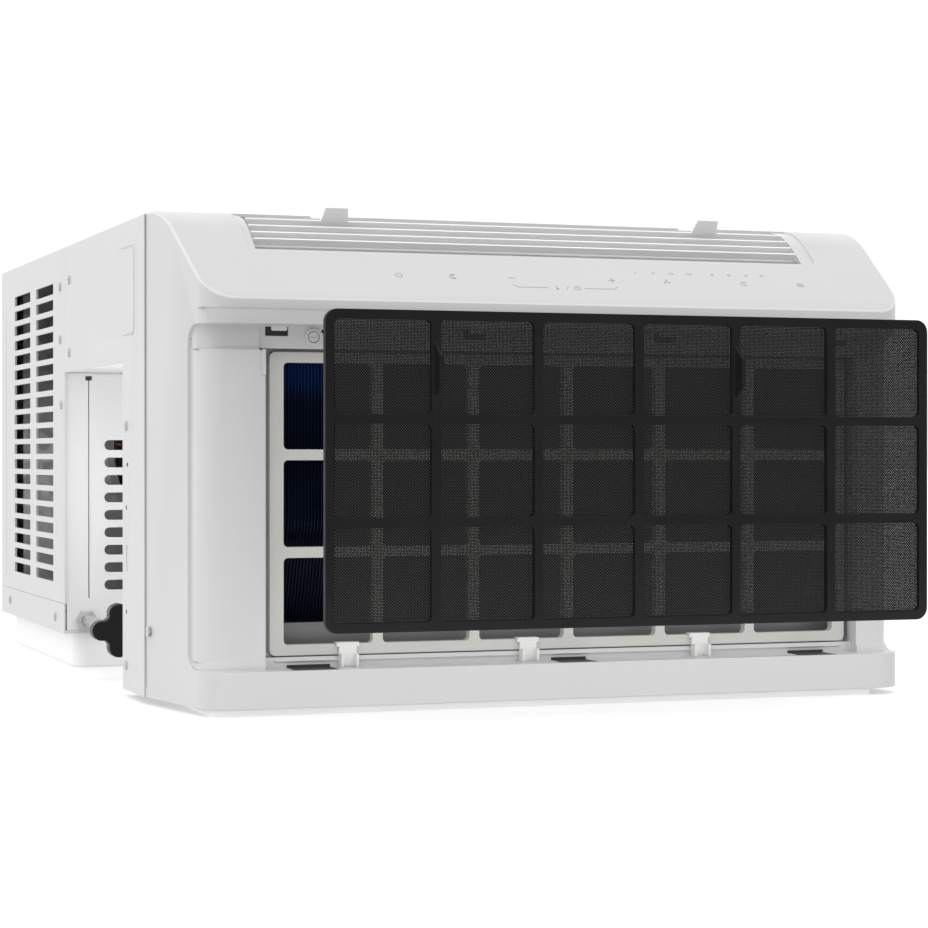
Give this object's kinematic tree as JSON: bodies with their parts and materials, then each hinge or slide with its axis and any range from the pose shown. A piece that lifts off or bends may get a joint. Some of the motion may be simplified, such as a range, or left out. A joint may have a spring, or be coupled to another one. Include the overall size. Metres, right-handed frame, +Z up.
{
  "type": "window air conditioner",
  "caption": "Saddle window air conditioner: indoor and outdoor sections joined by a bridge over the sill, front panel off and air filter pulled forward, deck louvers, levelling bumpers.",
  "frame": {"origin": "bottom centre of the whole unit with its filter pulled forward, on the plane that the two trays stand on", "axes": "+Y from the room to the outside, +Z up, +X to the right of someone in the room who faces the unit"},
  "size_m": [0.612, 0.929, 0.3883],
  "materials": {
    "cabinet_paint": "satin",
    "shell_plastic": "satin",
    "tray_plastic": "satin",
    "guard_plastic": "satin",
    "filter_plastic": "satin",
    "filter_net": "matt",
    "clip_plastic": "satin",
    "inner_plastic": "satin",
    "pan_plastic": "satin",
    "louver_plastic": "satin",
    "coil_fins": "satin",
    "condenser_fins": "satin",
    "copper_tube": "satin",
    "line_foam": "matt",
    "galvanised_steel": "satin",
    "zinc_steel": "satin",
    "screw_paint": "satin",
    "compressor_paint": "satin",
    "motor_steel": "satin",
    "rubber": "matt",
    "knob_plastic": "satin",
    "board_green": "satin",
    "wire_grey": "satin"
  },
  "bodies": {
    "chassis": {"accumulator": "compressor_paint", "base_tray": "tray_plastic", "blower_bearing": "rubber", "blower_motor": "motor_steel", "blower_scroll": "inner_plastic", "bridge_cover": "cabinet_paint", "bridge_floor": "cabinet_paint", "bridge_harness": "wire_grey", "cabinet_screws": "screw_paint", "compressor": "compressor_paint", "compressor_grommets": "rubber", "condenser_fins": "condenser_fins", "condenser_tubes": "copper_tube", "cord_gland": "rubber", "discharge_line": "copper_tube", "drain_pan": "pan_plastic", "drip_tray": "tray_plastic", "evaporator_fins": "coil_fins", "evaporator_tubes": "copper_tube", "fan_motor": "motor_steel", "fan_shroud": "galvanised_steel", "filter_clips": "clip_plastic", "front_shell": "shell_plastic", "hex_nuts": "zinc_steel", "indoor_back": "cabinet_paint", "intake_guard": "guard_plastic", "inverter_board": "board_green", "inverter_box": "galvanised_steel", "liquid_line": "copper_tube", "motor_bracket": "galvanised_steel", "outdoor_cover": "cabinet_paint", "outdoor_floor": "cabinet_paint", "outdoor_front_wall": "cabinet_paint", "outlet_duct": "louver_plastic", "rear_guard": "cabinet_paint", "suction_line": "line_foam", "touch_board": "board_green"},
    "filter": {"filter_frame": "filter_plastic", "filter_mesh": "filter_net"},
    "louver_link": {"louver_link": "louver_plastic"},
    "blower": {"crossflow_wheel": "inner_plastic", "crossflow_shafts": "zinc_steel"},
    "fan": {"axial_fan": "inner_plastic", "fan_shaft": "zinc_steel"},
    "slat_1": {"louver_slat_1": "louver_plastic"},
    "slat_2": {"louver_slat_2": "louver_plastic"},
    "slat_3": {"louver_slat_3": "louver_plastic"},
    "slat_4": {"louver_slat_4": "louver_plastic"},
    "left_vane_1": {"left_vane_1": "louver_plastic"},
    "left_vane_2": {"left_vane_2": "louver_plastic"},
    "left_vane_3": {"left_vane_3": "louver_plastic"},
    "left_vane_link": {"left_vane_link": "louver_plastic"},
    "left_bumper_stud": {"left_bumper_stud": "zinc_steel"},
    "left_bumper_knob": {"left_bumper_knob": "knob_plastic"},
    "right_vane_1": {"right_vane_1": "louver_plastic"},
    "right_vane_2": {"right_vane_2": "louver_plastic"},
    "right_vane_3": {"right_vane_3": "louver_plastic"},
    "right_vane_link": {"right_vane_link": "louver_plastic"},
    "right_bumper_stud": {"right_bumper_stud": "zinc_steel"},
    "right_bumper_knob": {"right_bumper_knob": "knob_plastic"}
  },
  "joints": [
    {"name": "filter_slide", "type": "slide", "parent": "chassis", "child": "filter", "axis": [0, 0.9824, -0.1866], "range_m": [0, 0.13131]},
    {"name": "slat_1_tilt", "type": "hinge", "parent": "chassis", "child": "slat_1", "pos_m": [0.001, -0.27318, 0.35451], "axis": [1, 0, 0], "range_deg": [-25, 25]},
    {"name": "slat_2_tilt", "type": "hinge", "parent": "chassis", "child": "slat_2", "pos_m": [0.001, -0.26478, 0.36034], "axis": [1, 0, 0], "range_deg": [-25, 25]},
    {"name": "slat_3_tilt", "type": "hinge", "parent": "chassis", "child": "slat_3", "pos_m": [0.001, -0.25638, 0.36617], "axis": [1, 0, 0], "range_deg": [-25, 25]},
    {"name": "slat_4_tilt", "type": "hinge", "parent": "chassis", "child": "slat_4", "pos_m": [0.001, -0.24798, 0.372], "axis": [1, 0, 0], "range_deg": [-25, 25]},
    {"name": "louver_link_pivot", "type": "hinge", "parent": "slat_1", "child": "louver_link", "pos_m": [-0.225, -0.26941, 0.34984], "axis": [1, 0, 0], "range_deg": [-25, 25]},
    {"name": "left_vane_1_turn", "type": "hinge", "parent": "chassis", "child": "left_vane_1", "pos_m": [-0.189, -0.24926, 0.29593], "axis": [0, 0.8796, 0.4756], "range_deg": [-25, 25]},
    {"name": "left_vane_2_turn", "type": "hinge", "parent": "chassis", "child": "left_vane_2", "pos_m": [-0.127, -0.24926, 0.29593], "axis": [0, 0.8796, 0.4756], "range_deg": [-25, 25]},
    {"name": "left_vane_3_turn", "type": "hinge", "parent": "chassis", "child": "left_vane_3", "pos_m": [-0.065, -0.24926, 0.29593], "axis": [0, 0.8796, 0.4756], "range_deg": [-25, 25]},
    {"name": "left_vane_link_pivot", "type": "hinge", "parent": "left_vane_1", "child": "left_vane_link", "pos_m": [-0.189, -0.24212, 0.28273], "axis": [0, 0.8796, 0.4756], "range_deg": [-25, 25]},
    {"name": "right_vane_1_turn", "type": "hinge", "parent": "chassis", "child": "right_vane_1", "pos_m": [0.067, -0.24926, 0.29593], "axis": [0, 0.8796, 0.4756], "range_deg": [-25, 25]},
    {"name": "right_vane_2_turn", "type": "hinge", "parent": "chassis", "child": "right_vane_2", "pos_m": [0.129, -0.24926, 0.29593], "axis": [0, 0.8796, 0.4756], "range_deg": [-25, 25]},
    {"name": "right_vane_3_turn", "type": "hinge", "parent": "chassis", "child": "right_vane_3", "pos_m": [0.191, -0.24926, 0.29593], "axis": [0, 0.8796, 0.4756], "range_deg": [-25, 25]},
    {"name": "right_vane_link_pivot", "type": "hinge", "parent": "right_vane_1", "child": "right_vane_link", "pos_m": [0.067, -0.24212, 0.28273], "axis": [0, 0.8796, 0.4756], "range_deg": [-25, 25]},
    {"name": "blower_spin", "type": "hinge", "parent": "chassis", "child": "blower", "pos_m": [0.001, -0.2055, 0.215], "axis": [1, 0, 0], "continuous": true},
    {"name": "fan_spin", "type": "hinge", "parent": "chassis", "child": "fan", "pos_m": [-0.073, 0.3595, 0.205], "axis": [0, 1, 0], "continuous": true},
    {"name": "left_bumper_travel", "type": "slide", "parent": "chassis", "child": "left_bumper_stud", "axis": [0, -1, 0], "range_m": [-0.09, 0.03]},
    {"name": "left_bumper_spin", "type": "hinge", "parent": "left_bumper_stud", "child": "left_bumper_knob", "pos_m": [-0.283, -0.0235, 0.044], "axis": [0, -1, 0], "range_deg": [-21700, 7300]},
    {"name": "right_bumper_travel", "type": "slide", "parent": "chassis", "child": "right_bumper_stud", "axis": [0, -1, 0], "range_m": [-0.09, 0.03]},
    {"name": "right_bumper_spin", "type": "hinge", "parent": "right_bumper_stud", "child": "right_bumper_knob", "pos_m": [0.283, -0.0235, 0.044], "axis": [0, -1, 0], "range_deg": [-21700, 7300]}
  ],
  "couplings": [
    {"joint": "slat_2_tilt", "follows": "slat_1_tilt", "ratio": 1},
    {"joint": "slat_3_tilt", "follows": "slat_1_tilt", "ratio": 1},
    {"joint": "slat_4_tilt", "follows": "slat_1_tilt", "ratio": 1},
    {"joint": "louver_link_pivot", "follows": "slat_1_tilt", "ratio": -1},
    {"joint": "left_vane_2_turn", "follows": "left_vane_1_turn", "ratio": 1},
    {"joint": "left_vane_3_turn", "follows": "left_vane_1_turn", "ratio": 1},
    {"joint": "left_vane_link_pivot", "follows": "left_vane_1_turn", "ratio": -1},
    {"joint": "right_vane_2_turn", "follows": "right_vane_1_turn", "ratio": 1},
    {"joint": "right_vane_3_turn", "follows": "right_vane_1_turn", "ratio": 1},
    {"joint": "right_vane_link_pivot", "follows": "right_vane_1_turn", "ratio": -1},
    {"joint": "left_bumper_spin", "follows": "left_bumper_travel", "rad_per_m": 4188.8},
    {"joint": "right_bumper_spin", "follows": "right_bumper_travel", "rad_per_m": 4188.8}
  ]
}
